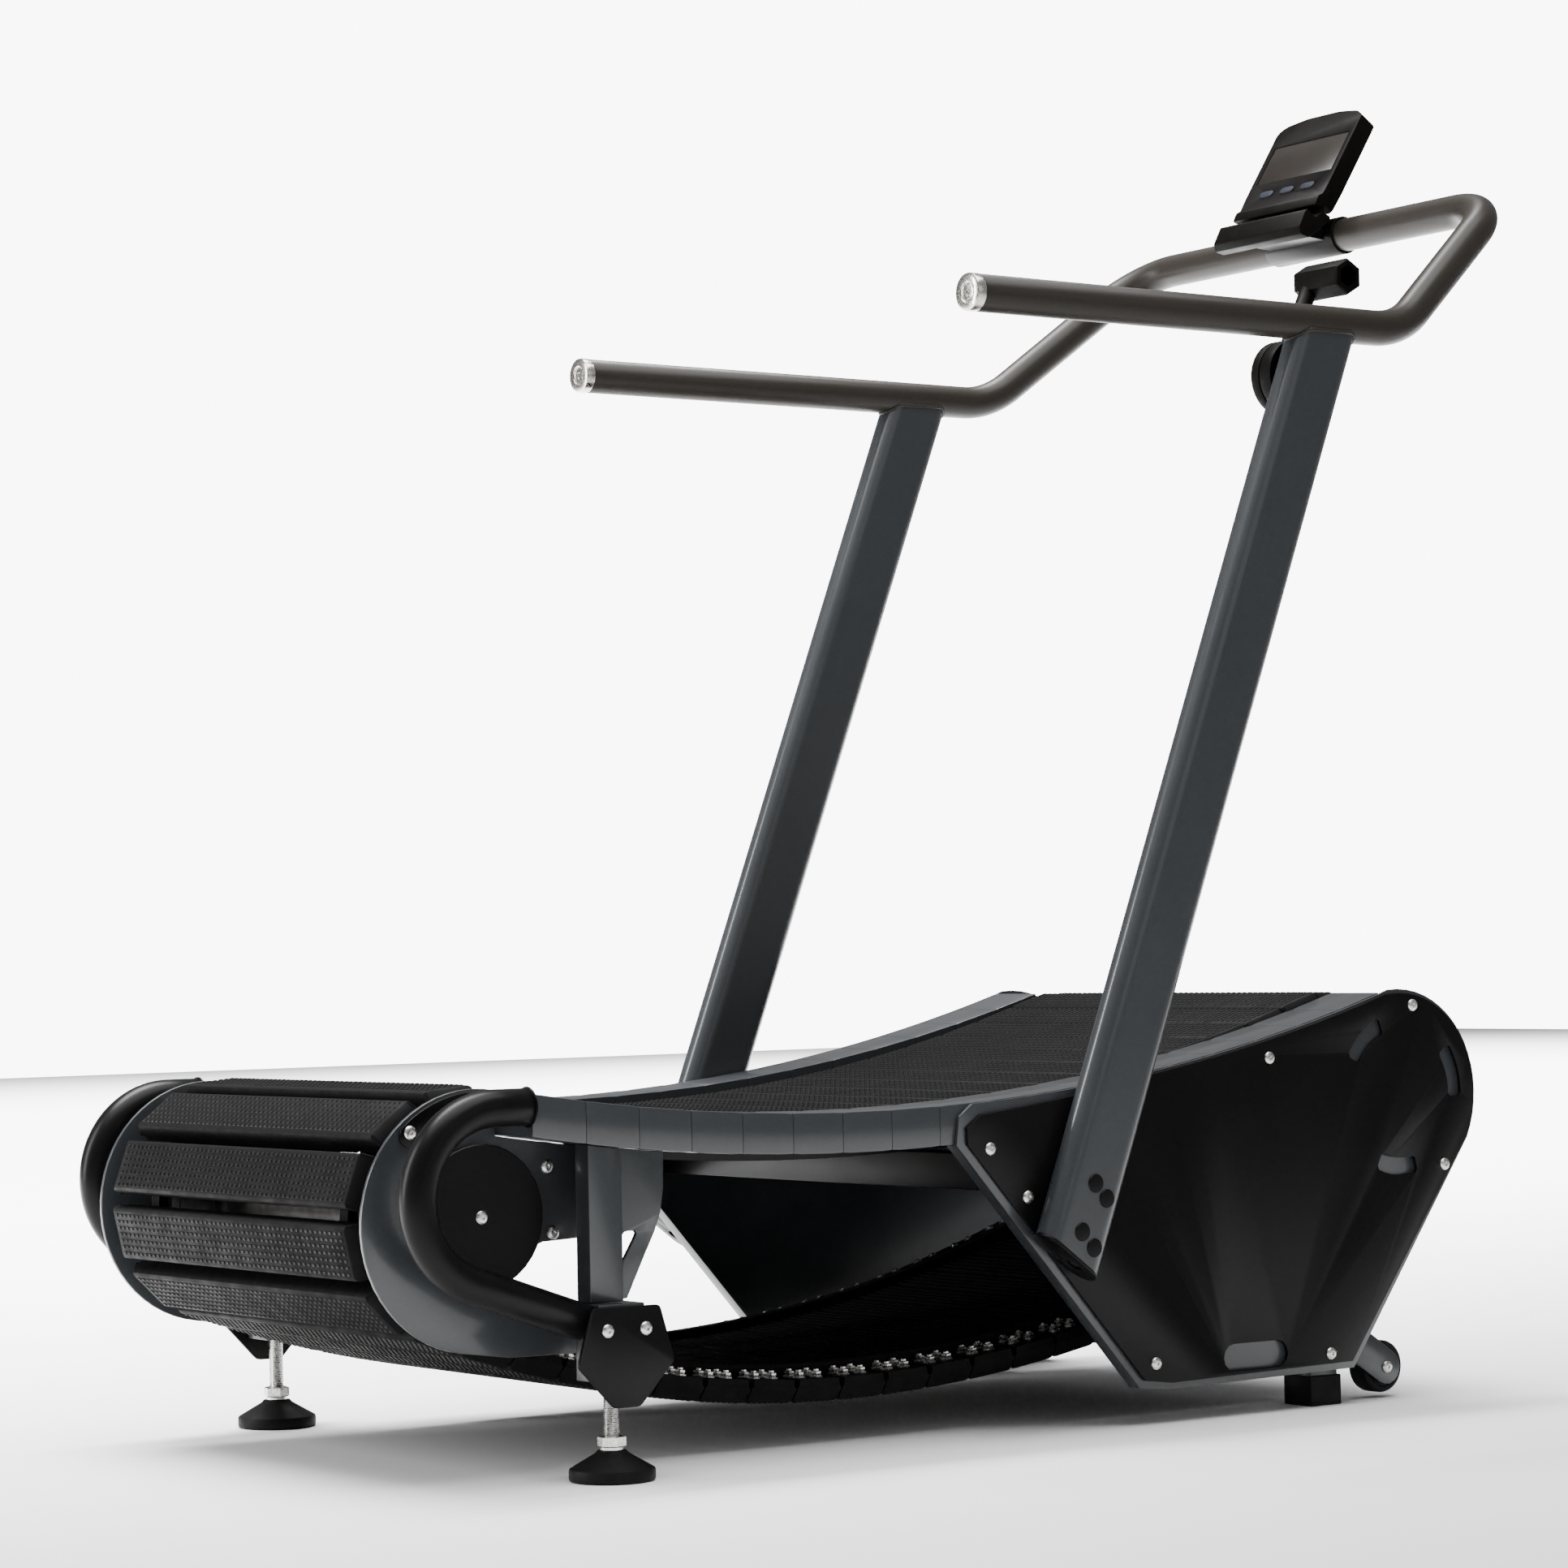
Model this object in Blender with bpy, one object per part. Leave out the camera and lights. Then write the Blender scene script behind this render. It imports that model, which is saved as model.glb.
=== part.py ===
"""Curved manual treadmill.

Frame: X forward (towards the console), Y to the runner's left, Z up, floor at Z = 0,
origin under the middle of the machine. Metres throughout.
"""
import math

import bmesh
import bpy
from mathutils import Vector

# ---------------------------------------------------------------- driving dimensions

DECK_MID_X = -0.240          # lowest point of the curved side rail
DECK_LOW_Z = 0.359           # height of the rail's top there
DECK_RADIUS = 2.570          # curve of the rail's top
RAIL_HEIGHT = 0.043
RAIL_INNER_Y = 0.275
RAIL_OUTER_Y = 0.354
RAIL_REAR_X = -0.652
RAIL_FRONT_X = 0.500

REAR_AXLE = (-0.677, 0.266)  # X, Z of the rear drum's axis
FRONT_AXLE = (0.506, 0.334)  # X, Z of the front drum's axis
BELT_LINE_R = 0.103          # drum axis to the line the slats are screwed on
BELT_TOP_RADIUS = 2.230      # that line between the drums, on the running side
BELT_LOW = (-0.200, 0.076)   # X, Z of its lowest point on the slack side
BELT_SLATS = 52
BELT_HALF_WIDTH = 0.260
SLAT_HEIGHT = 0.030          # belt line to the face of a slat
SLAT_HALF = 0.029            # half length of a slat's face
SLAT_ROOT = (0.0262, 0.004)  # half length and height of the groove between two slats
BELT_INSIDE = 0.009          # belt line to the inside of the toothed bands
DRUM_R = 0.0905
SHAFT_R = 0.0125

PLATE_Y = (0.3545, 0.3585)   # front side plate
FLANGE_Y = 0.3400            # inner edge of that plate's folded rim
PANEL_Y = (0.3590, 0.3630)   # black panel on it
NOSE = (0.523, 0.351)        # centre of the plate's round front
NOSE_R = 0.1200

UPRIGHT_Y = 0.3835           # middle plane of upright and hand grip
UPRIGHT_L = 0.086
UPRIGHT_T = 0.036
UPRIGHT_FOOT = (0.088, 0.408)
UPRIGHT_SLOPE = 0.392        # forward run per unit height
BAR_R = 0.0205
BAR_Z = 1.231
BAR_END_X = -0.0915
CROSS_X = 0.746
CROSS_Y = 0.330                  # half spread of the crossbar's corners
CROSS_Z = 1.405
RISE_X = 0.527                   # where the grips turn upwards

GUARD_R = 0.019
GUARD_Y = 0.3475
POST_X = -0.561
POST_SIZE = (0.040, 0.025)
FOOT_X = -0.560
FOOT_Y = 0.347
FRONT_FOOT = (0.4155, 0.318)
WHEEL_AXLE = (0.517, 0.036)
WHEEL_R = 0.030

CONSOLE_TILT = math.radians(33.0)
CONSOLE_FOOT = (0.6857, 1.4312)   # lower edge of the tilted face
CONSOLE_THICK = 0.0250
CONSOLE_PIVOT = (0.7030, 1.4360)
DIAL_CENTRE = (0.387, 1.172)
DIAL_R = 0.0425

COLOURS = {
    "grey_paint": (0.062, 0.070, 0.078, 1.0, 0.35, 0.42),
    "black_paint": (0.012, 0.012, 0.013, 1.0, 0.2, 0.45),
    "bar_paint": (0.040, 0.038, 0.035, 1.0, 0.3, 0.50),
    "steel": (0.62, 0.61, 0.58, 1.0, 1.0, 0.28),
    "rubber": (0.016, 0.016, 0.017, 1.0, 0.0, 0.75),
    "plastic": (0.014, 0.014, 0.015, 1.0, 0.0, 0.42),
    "screen": (0.17, 0.16, 0.13, 1.0, 0.0, 0.20),
}


# ---------------------------------------------------------------- shared shape helpers

def material(slot):
    """Principled material of one finish."""
    found = bpy.data.materials.get(slot)
    if found:
        return found
    made = bpy.data.materials.new(slot)
    made.use_nodes = True
    red, green, blue, alpha, metal, rough = COLOURS[slot]
    shader = made.node_tree.nodes["Principled BSDF"]
    shader.inputs["Base Color"].default_value = (red, green, blue, alpha)
    shader.inputs["Metallic"].default_value = metal
    shader.inputs["Roughness"].default_value = rough
    made.diffuse_color = (red, green, blue, alpha)
    return made


def finish(name, bm, slot, origin=(0.0, 0.0, 0.0)):
    """Close a mesh into a named object whose origin is the given point."""
    bmesh.ops.remove_doubles(bm, verts=bm.verts, dist=1e-6)
    bmesh.ops.recalc_face_normals(bm, faces=bm.faces)
    bmesh.ops.translate(bm, verts=bm.verts, vec=-Vector(origin))
    mesh = bpy.data.meshes.new(name)
    bm.to_mesh(mesh)
    bm.free()
    node = bpy.data.objects.new(name, mesh)
    node.location = origin
    node.data.materials.append(material(slot))
    bpy.context.scene.collection.objects.link(node)
    return node


def prism_mesh(outline, low, high, holes=(), base=(0, 0, 0), u_axis=(1, 0, 0), v_axis=(0, 0, 1)):
    """Flat outline with holes, thickened along w = u x v reversed so that XZ outlines run along +Y."""
    bm = bmesh.new()
    base, u_axis, v_axis = Vector(base), Vector(u_axis), Vector(v_axis)
    w_axis = v_axis.cross(u_axis)
    edges = []
    for loop in (outline, *holes):
        verts = [bm.verts.new(base + u_axis * u + v_axis * v + w_axis * low) for u, v in loop]
        count = len(verts)
        edges += [bm.edges.new((verts[i], verts[(i + 1) % count])) for i in range(count)]
    bmesh.ops.triangle_fill(bm, use_beauty=True, edges=edges, normal=w_axis)
    out = bmesh.ops.extrude_face_region(bm, geom=bm.faces[:])
    moved = [item for item in out["geom"] if isinstance(item, bmesh.types.BMVert)]
    bmesh.ops.translate(bm, verts=moved, vec=w_axis * (high - low))
    return bm


def plate(name, slot, side, outline, near, far, holes=(), origin=(0.0, 0.0, 0.0)):
    """Upright plate given by its XZ outline, between two distances from the middle plane."""
    low, high = sorted((side * near, side * far))
    return finish(name, prism_mesh(outline, low, high, holes), slot, origin)


def box(name, slot, low, high, origin=(0.0, 0.0, 0.0)):
    """Plain block between two corners."""
    outline = [(low[0], low[2]), (high[0], low[2]), (high[0], high[2]), (low[0], high[2])]
    return finish(name, prism_mesh(outline, low[1], high[1]), slot, origin)


def tube(name, slot, path, radius, sides, origin=(0.0, 0.0, 0.0)):
    """Round bar swept along a path of points, with flat ends."""
    bm = bmesh.new()
    points = [Vector(p) for p in path]
    tangents = []
    for i, point in enumerate(points):
        before = points[max(i - 1, 0)]
        after = points[min(i + 1, len(points) - 1)]
        step = (point - before).normalized() + (after - point).normalized()
        tangents.append(step.normalized())
    side = tangents[0].orthogonal().normalized()
    rings = []
    for point, tangent in zip(points, tangents):
        side = (side - tangent * side.dot(tangent)).normalized()
        other = tangent.cross(side)
        ring = []
        for k in range(sides):
            angle = 2 * math.pi * k / sides
            ring.append(bm.verts.new(point + (side * math.cos(angle) + other * math.sin(angle)) * radius))
        rings.append(ring)
    for first, second in zip(rings, rings[1:]):
        for k in range(sides):
            bm.faces.new((first[k], first[(k + 1) % sides], second[(k + 1) % sides], second[k]))
    bm.faces.new(rings[0])
    bm.faces.new(rings[-1])
    return finish(name, bm, slot, origin)


def lathe(name, slot, profile, sides, centre, axis="Y", closed=False):
    """Turned piece: profile of (radius, height) round an axis through the centre point.

    A closed profile makes a ring; an open one is capped at both ends.
    """
    bm = bmesh.new()
    centre = Vector(centre)
    rings = []
    for radius, height in profile:
        ring = []
        for k in range(sides):
            angle = 2 * math.pi * (k + 0.5) / sides
            a, b = radius * math.cos(angle), radius * math.sin(angle)
            offset = {"X": (height, a, b), "Y": (a, height, b), "Z": (a, b, height)}[axis]
            ring.append(bm.verts.new(centre + Vector(offset)))
        rings.append(ring)
    pairs = list(zip(rings, rings[1:]))
    if closed:
        pairs.append((rings[-1], rings[0]))
    else:
        bm.faces.new(rings[0])
        bm.faces.new(rings[-1])
    for first, second in pairs:
        for k in range(sides):
            bm.faces.new((first[k], first[(k + 1) % sides], second[(k + 1) % sides], second[k]))
    return finish(name, bm, slot, centre)


def cut(node, cutter):
    """Take the cutter's volume away from a node."""
    change = node.modifiers.new("cut_" + cutter.name, "BOOLEAN")
    change.operation = "DIFFERENCE"
    change.solver = "EXACT"
    change.object = cutter
    cutter.hide_render = True
    cutter.display_type = "WIRE"


def weld(node, other):
    """Add another solid's volume to a node."""
    change = node.modifiers.new("weld_" + other.name, "BOOLEAN")
    change.operation = "UNION"
    change.solver = "EXACT"
    change.object = other
    other.hide_render = True
    other.display_type = "WIRE"


def arc(centre, radius, start, end, steps):
    """Points on a circle, angles in degrees from +X towards +Z."""
    points = []
    for i in range(steps + 1):
        angle = math.radians(start + (end - start) * i / steps)
        points.append((centre[0] + radius * math.cos(angle), centre[1] + radius * math.sin(angle)))
    return points


def rounded(points, radius, steps=4):
    """Round every corner of a closed outline by quadratic blends of the given reach."""
    out = []
    count = len(points)
    for i in range(count):
        corner = Vector(points[i])
        before = Vector(points[i - 1]) - corner
        after = Vector(points[(i + 1) % count]) - corner
        reach = min(radius, before.length * 0.45, after.length * 0.45)
        start = corner + before.normalized() * reach
        end = corner + after.normalized() * reach
        for k in range(steps + 1):
            t = k / steps
            spot = start * (1 - t) ** 2 + corner * (2 * t * (1 - t)) + end * t ** 2
            out.append((spot[0], spot[1]))
    return out


def slot_outline(first, second, radius, steps=6):
    """Stadium shape between two centres."""
    angle = math.degrees(math.atan2(second[1] - first[1], second[0] - first[0]))
    return arc(second, radius, angle - 90, angle + 90, steps) + arc(first, radius, angle + 90, angle + 270, steps)


def bend(corners, radii, steps=6):
    """Polyline with each inner corner replaced by a smooth bend."""
    path = [Vector(corners[0])]
    for i in range(1, len(corners) - 1):
        corner = Vector(corners[i])
        before = (Vector(corners[i - 1]) - corner).normalized()
        after = (Vector(corners[i + 1]) - corner).normalized()
        half = before.angle(after) / 2
        reach = radii[i - 1] / math.tan(half)
        middle = corner + (before + after).normalized() * (radii[i - 1] / math.sin(half))
        start = corner + before * reach - middle
        end = corner + after * reach - middle
        for k in range(steps + 1):
            spot = start.lerp(end, k / steps).normalized() * radii[i - 1]
            path.append(middle + spot)
    path.append(Vector(corners[-1]))
    return path


def deck(x, drop=0.0):
    """Height of the side rail's top at a place along the machine, less a drop."""
    middle = DECK_LOW_Z + DECK_RADIUS
    return middle - math.sqrt((DECK_RADIUS + drop) ** 2 - (x - DECK_MID_X) ** 2)


def deck_points(start, end, steps, drop=0.0):
    """Points along the rail's curve."""
    return [(start + (end - start) * i / steps, deck(start + (end - start) * i / steps, drop))
            for i in range(steps + 1)]


# ---------------------------------------------------------------- running belt

def belt_path(steps=1600):
    """Line the slats are screwed on as one closed loop of points, with the outward normal at each.

    Top: arc of BELT_TOP_RADIUS touching both drum circles. Bottom: two parabolas
    z = low + a (x - x_low)^2 that meet the drum circles without a kink.
    """
    rear, front = Vector(REAR_AXLE), Vector(FRONT_AXLE)
    span = front - rear
    reach = BELT_TOP_RADIUS + BELT_LINE_R
    rise = math.sqrt(reach ** 2 - (span.length / 2) ** 2)
    top = (rear + front) / 2 + Vector((-span[1], span[0])) / span.length * rise
    rear_up = (top - rear).normalized()
    front_up = (top - front).normalized()
    low = Vector(BELT_LOW)

    def touch(axle, sign):
        """Bottom tangent point on a drum circle for the parabola, by bisection on the slope angle."""
        small, large = 0.02, 1.2
        for _ in range(60):
            angle = (small + large) / 2
            x = axle[0] + sign * BELT_LINE_R * math.sin(angle)
            z = axle[1] - BELT_LINE_R * math.cos(angle)
            slope = 2 * (z - low[1]) / abs(x - low[0])
            if slope > math.tan(angle):
                small = angle
            else:
                large = angle
        return angle, Vector((x, z))

    rear_angle, rear_low = touch(rear, -1)
    front_angle, front_low = touch(front, 1)
    points = []
    start = math.atan2(rear_up[1], rear_up[0])
    end = math.radians(270) - rear_angle
    for i in range(200):
        angle = start + (end - start) * i / 200
        points.append(rear + Vector((math.cos(angle), math.sin(angle))) * BELT_LINE_R)
    for point in (rear_low, front_low):
        factor = (point[1] - low[1]) / (point[0] - low[0]) ** 2
        first, last = (point[0], low[0]) if point is rear_low else (low[0], point[0])
        for i in range(200):
            x = first + (last - first) * i / 200
            points.append(Vector((x, low[1] + factor * (x - low[0]) ** 2)))
    start = math.radians(-90) + front_angle
    end = math.atan2(front_up[1], front_up[0])
    for i in range(200):
        angle = start + (end - start) * i / 200
        points.append(front + Vector((math.cos(angle), math.sin(angle))) * BELT_LINE_R)
    start = math.atan2(-front_up[1], -front_up[0])
    end = math.atan2(-rear_up[1], -rear_up[0])
    for i in range(400):
        angle = start + (end - start) * i / 400
        points.append(top + Vector((math.cos(angle), math.sin(angle))) * BELT_TOP_RADIUS)
    lengths = [0.0]
    for i in range(len(points)):
        lengths.append(lengths[-1] + (points[(i + 1) % len(points)] - points[i]).length)
    total = lengths[-1]
    samples = []
    index = 0
    for k in range(steps):
        target = total * k / steps
        while lengths[index + 1] < target:
            index += 1
        share = (target - lengths[index]) / (lengths[index + 1] - lengths[index])
        samples.append(points[index].lerp(points[(index + 1) % len(points)], share))
    frames = []
    for k in range(steps):
        along = (samples[(k + 1) % steps] - samples[k - 1]).normalized()
        frames.append((samples[k], Vector((along[1], -along[0]))))
    return frames, total


def belt():
    """Endless belt of slats: grooved on the outside, smooth on the inside."""
    per_slat = 30
    frames, _ = belt_path(BELT_SLATS * per_slat)
    outer, inner = [], []
    for k in range(BELT_SLATS):
        middle, normal = frames[k * per_slat + per_slat // 2]
        along = Vector((-normal[1], normal[0]))
        outer += [middle - along * SLAT_ROOT[0] + normal * SLAT_ROOT[1],
                  middle - along * SLAT_HALF + normal * SLAT_HEIGHT,
                  middle + along * SLAT_HALF + normal * SLAT_HEIGHT,
                  middle + along * SLAT_ROOT[0] + normal * SLAT_ROOT[1]]
        start, start_normal = frames[k * per_slat]
        inner += [start - start_normal * BELT_INSIDE, middle - normal * BELT_INSIDE]
    bm = prism_mesh([tuple(p) for p in outer], -BELT_HALF_WIDTH, BELT_HALF_WIDTH, [[tuple(p) for p in inner]])
    finish("belt", bm, "rubber")


# ---------------------------------------------------------------- deck, side by side

def rail(tag, side):
    """Curved box rail the runner steps over, with its flat lip."""
    top = deck_points(RAIL_REAR_X, RAIL_FRONT_X, 26)
    bottom = deck_points(RAIL_FRONT_X, RAIL_REAR_X, 26, RAIL_HEIGHT)
    plate("rail_" + tag, "grey_paint", side, top + bottom, RAIL_INNER_Y, RAIL_OUTER_Y)


def roller_rail(tag, side):
    """Strip inside the rail that carries the belt's guide rollers."""
    top = deck_points(-0.560, 0.420, 22, 0.016)
    bottom = deck_points(0.420, -0.560, 22, 0.052)
    plate("roller_rail_" + tag, "black_paint", side, top + bottom, 0.2645, 0.2705)


def rear_plate(tag, side):
    """D-shaped plate at the rear drum, reaching forward to the post and notched under the disc."""
    centre = (REAR_AXLE[0], 0.2640)
    outline = arc(centre, 0.133, 80, 262, 30)
    outline += [(-0.640, 0.1245), (-0.557, 0.1235), (-0.557, 0.1560), (-0.583, 0.1640), (-0.606, 0.1700),
                (-0.668, 0.1930), (-0.673, 0.2120), (-0.640, 0.2260), (-0.598, 0.2390), (-0.5415, 0.2412)]
    outline += [(x, deck(x, RAIL_HEIGHT) - 0.0005) for x in (-0.5415, -0.579, -0.616, -0.6535)]
    plate("rear_plate_" + tag, "grey_paint", side, outline, 0.280, 0.285)


def drum_disc(tag, side):
    """Round black cover over the rear drum's bearing."""
    profile = [(0.020, 0.0000), (0.020, 0.0050), (0.0735, 0.0050), (0.0735, 0.0085), (0.0725, 0.0095)]
    y = side * 0.2855
    profile = [(radius, side * height) for radius, height in profile]
    lathe("drum_disc_" + tag, "black_paint", profile, 36, (REAR_AXLE[0], y, 0.268))


def rear_cover(tag, side):
    """Small curved cover with round ends, above the disc and behind the guard tube."""
    centre = (REAR_AXLE[0], 0.2640)
    low = arc(centre, 0.1175, 131, 131, 1)[0]
    high = arc(centre, 0.1175, 96, 96, 1)[0]
    outline = (arc(centre, 0.1300, 96, 131, 10)[:-1] + arc(low, 0.0125, 131, 311, 8)[:-1]
               + arc(centre, 0.1050, 131, 96, 8)[:-1] + arc(high, 0.0125, 276, 456, 8)[:-1])
    plate("rear_cover_" + tag, "black_paint", side, outline, 0.2855, 0.2890)


def guard(tag, side):
    """Bent tube that guards the rear drum."""
    y = side * GUARD_Y
    corners = [(-0.6525, 0.3790), (-0.7820, 0.3790), (-0.7820, 0.2268), (-0.5922, 0.1607)]
    path = bend([(x, y, z) for x, z in corners], [0.0888, 0.0888], 7)
    tube("guard_" + tag, "black_paint", path, GUARD_R, 16)


def post(tag, side):
    """Short upright post under the rear of the rail."""
    x = (POST_X - POST_SIZE[0] / 2, POST_X + POST_SIZE[0] / 2)
    y = sorted((side * 0.320, side * (0.320 + POST_SIZE[1])))
    outline = [(x[0], 0.1785), (x[1], 0.1785), (x[1], deck(x[1], RAIL_HEIGHT) - 0.0004),
               (x[0], deck(x[0], RAIL_HEIGHT) - 0.0004)]
    finish("post_" + tag, prism_mesh(outline, y[0], y[1]), "grey_paint", (POST_X, side * 0.3325, 0.1785))
    low = (-0.585, min(side * 0.322, side * 0.366), 0.1000)
    high = (-0.530, max(side * 0.322, side * 0.366), 0.1780)
    box("foot_block_" + tag, "grey_paint", low, high, (FOOT_X, side * FOOT_Y, 0.1000))


def gusset(tag, side):
    """Curved stiffening plate in front of the post."""
    left = POST_X + POST_SIZE[0] / 2 + 0.0004
    outline = [(left, 0.1800), (-0.5290, 0.1800), (-0.5060, 0.2240), (-0.4940, 0.2460), (-0.4865, 0.2650),
               (-0.4825, 0.2900), (-0.4820, 0.3180), (-0.4820, deck(-0.4820, RAIL_HEIGHT) - 0.0004),
               (left, deck(left, RAIL_HEIGHT) - 0.0004)]
    window = rounded([(-0.5340, 0.2480), (-0.5340, 0.2160), (-0.5140, 0.2480)], 0.007, 3)
    plate("gusset_" + tag, "grey_paint", side, outline, 0.3280, 0.3330, [window])


def foot_cover(tag, side):
    """Six-sided black plate bolted over the foot block."""
    x = -0.5565
    outline = [(x - 0.041, 0.1755), (x + 0.041, 0.1755), (x + 0.058, 0.1185), (x + 0.0155, 0.0745),
               (x - 0.0155, 0.0745), (x - 0.058, 0.1185)]
    plate("foot_cover_" + tag, "black_paint", side, rounded(outline, 0.004, 2), 0.3685, 0.3725)


def side_plate_outline(inset, top_drop):
    """Outline of the front side plate; the panel on it is the same shape, smaller."""
    top_left = (-0.1180 + 0.9 * inset, deck(-0.1180) - 0.012 - top_drop(-0.118))
    outline = [(-0.1220 + 1.5 * inset, 0.3180)]
    outline += [top_left]
    outline += [(x, deck(x) - top_drop(x)) for x in [-0.10 + inset + i * (0.60 - inset) / 16 for i in range(17)]]
    outline += arc(NOSE, NOSE_R - inset * 0.6, 96, -27, 18)
    outline += [(0.4430 - 0.7 * inset, 0.0420 + inset), (0.1680, 0.0380 + inset * 0.9),
                (0.1250 + 0.6 * inset, 0.0420 + inset)]
    return outline


def front_side(tag, side):
    """Grey side plate with a folded rim, and the black panel screwed to it."""
    outline = side_plate_outline(0.0, lambda x: 0.0010)
    near, far = sorted((side * FLANGE_Y, side * PLATE_Y[1]))
    shell = finish("side_plate_" + tag, prism_mesh(outline, near, far), "grey_paint")
    pocket = [(-0.1420, 0.3176), (-0.1170, 0.3176), (0.1278, 0.0458), (0.1690, 0.0418), (0.4415, 0.0458),
              (0.6280, 0.3000), (0.6800, 0.3800), (0.6500, 0.5200), (0.4000, 0.5200), (-0.1500, 0.4600)]
    near, far = sorted((side * (FLANGE_Y - 0.01), side * PLATE_Y[0]))
    cut(shell, finish("pocket_" + tag, prism_mesh(pocket, near, far), "grey_paint"))

    def drop(x):
        """The panel's top edge leaves more of the rail showing towards the rear."""
        return 0.003 + 0.011 * min(1.0, max(0.0, (0.15 - x) / 0.25))

    vents = []
    for angle in (131.0, 16.0, 264.0):
        vents.append(arc(NOSE, 0.094, angle - 20, angle + 20, 8)
                     + arc(NOSE, 0.074, angle + 20, angle - 20, 8))
    vents = [rounded(vent, 0.004, 1) for vent in vents]
    grip = slot_outline((0.2590, 0.0665), (0.3240, 0.0665), 0.0150)
    plate("panel_" + tag, "black_paint", side, side_plate_outline(0.0080, drop), *PANEL_Y, [grip, *vents])


def upright(tag, side):
    """Flat-oval tube leaning forward, cut to fit the hand grip, with its end cap.

    Section rows: v = T/2 sin(phi), u = +-(L/2 - T/2 + T/2 cos(phi)).
    """
    bm = bmesh.new()
    lean = Vector((UPRIGHT_SLOPE, 0.0, 1.0)).normalized()
    across = Vector((lean[2], 0.0, -lean[0]))
    foot = Vector((UPRIGHT_FOOT[0], side * UPRIGHT_Y, UPRIGHT_FOOT[1]))
    cut_point = Vector((-0.035, 0.0, 0.225))
    cut_line = Vector((0.083, 0.0, -0.062)).normalized()
    cut_normal = Vector((-cut_line[2], 0.0, cut_line[0]))
    rows = []
    steps = 10
    for j in range(steps + 1):
        phi = math.pi * (j / steps - 0.5)
        v = UPRIGHT_T / 2 * math.sin(phi)
        half = UPRIGHT_L / 2 - UPRIGHT_T / 2 + UPRIGHT_T / 2 * math.cos(phi)
        row = []
        for u in (-half, half):
            start = foot + across * u + Vector((0.0, v, 0.0))
            down = (cut_point - start).dot(cut_normal) / lean.dot(cut_normal)
            saddle = BAR_Z - math.sqrt((BAR_R + 0.0006) ** 2 - v ** 2)
            up = (saddle - start[2]) / lean[2]
            row.append((bm.verts.new(start + lean * down), bm.verts.new(start + lean * up)))
        rows.append(row)
    for first, second in zip(rows, rows[1:]):
        for end in (0, 1):
            bm.faces.new((first[0][end], first[1][end], second[1][end], second[0][end]))
            bm.faces.new((first[end][0], first[end][1], second[end][1], second[end][0]))
    for row in (rows[0], rows[-1]):
        bm.faces.new((row[0][0], row[1][0], row[1][1], row[0][1]))
    finish("upright_" + tag, bm, "grey_paint", tuple(foot))

    middle = foot + lean * ((cut_point - foot).dot(cut_normal) / lean.dot(cut_normal))
    half = 0.5 * UPRIGHT_L / abs(cut_normal.dot(lean))
    flat = half - UPRIGHT_T / 2
    ring = slot_outline((-flat, 0.0), (flat, 0.0), UPRIGHT_T / 2 + 0.0005, 8)
    hole = arc((flat * 0.55, 0.0), 0.0085, 0, 337.5, 15)
    bm = prism_mesh(ring, 0.0004, 0.0034, [hole], tuple(middle), tuple(cut_line), (0, 1, 0))
    cap = finish("upright_cap_" + tag, bm, "black_paint", tuple(middle))
    return cap


# ---------------------------------------------------------------- feet and wheels

def rear_foot(tag, side):
    """Levelling foot: cone of rubber on a threaded stud with its nut."""
    centre = (FOOT_X, side * FOOT_Y, 0.0)
    pad = [(0.0425, 0.0000), (0.0440, 0.0020), (0.0440, 0.0120), (0.0150, 0.0295), (0.0095, 0.0305),
           (0.0095, 0.0120)]
    lathe("foot_pad_" + tag, "rubber", pad, 28, centre, "Z")
    stud = [(0.0080, 0.0124), (0.0080, 0.0340), (0.0135, 0.0340), (0.0135, 0.0450), (0.0080, 0.0450),
            (0.0080, 0.1500)]
    lathe("foot_stud_" + tag, "steel", stud, 18, centre, "Z")
    bore = [(0.0088, 0.0900), (0.0088, 0.1560)]
    cut(bpy.data.objects["foot_block_" + tag], lathe("foot_bore_" + tag, "grey_paint", bore, 18, centre, "Z"))


def front_foot(tag, side):
    """Square leg with its rubber shoe."""
    x, y = FRONT_FOOT[0], side * FRONT_FOOT[1]
    box("leg_" + tag, "grey_paint", (x - 0.020, y - 0.020, 0.0060), (x + 0.020, y + 0.020, 0.0616),
        (x, y, 0.0616))
    shoe = box("shoe_" + tag, "rubber", (x - 0.023, y - 0.023, 0.0), (x + 0.023, y + 0.023, 0.0340), (x, y, 0.0))
    hollow = box("shoe_hollow_" + tag, "rubber", (x - 0.0204, y - 0.0204, 0.0056),
                 (x + 0.0204, y + 0.0204, 0.0500))
    cut(shoe, hollow)


def transport_wheel(tag, side):
    """Small wheel and its bracket at the front corner."""
    outline = slot_outline((0.4560, 0.0760), WHEEL_AXLE, 0.0200, 8)
    plate("wheel_bracket_" + tag, "grey_paint", side, outline, 0.3300, 0.3340)
    x, z = WHEEL_AXLE
    tyre = [(0.0270, -0.0140), (0.0300, -0.0100), (0.0300, 0.0100), (0.0270, 0.0140)]
    lathe("wheel_" + tag, "rubber", tyre, 32, (x, side * 0.3140, z), "Y")


# ---------------------------------------------------------------- middle of the machine

def drum(name, axle, shaft_half):
    """Two belt pulleys on one shaft."""
    profile = [(SHAFT_R, -shaft_half), (SHAFT_R, -0.245), (DRUM_R, -0.245), (DRUM_R, -0.200), (0.030, -0.196),
               (0.030, 0.196), (DRUM_R, 0.200), (DRUM_R, 0.245), (SHAFT_R, 0.245), (SHAFT_R, shaft_half)]
    lathe(name, "steel", profile, 28, (axle[0], 0.0, axle[1]))


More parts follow.
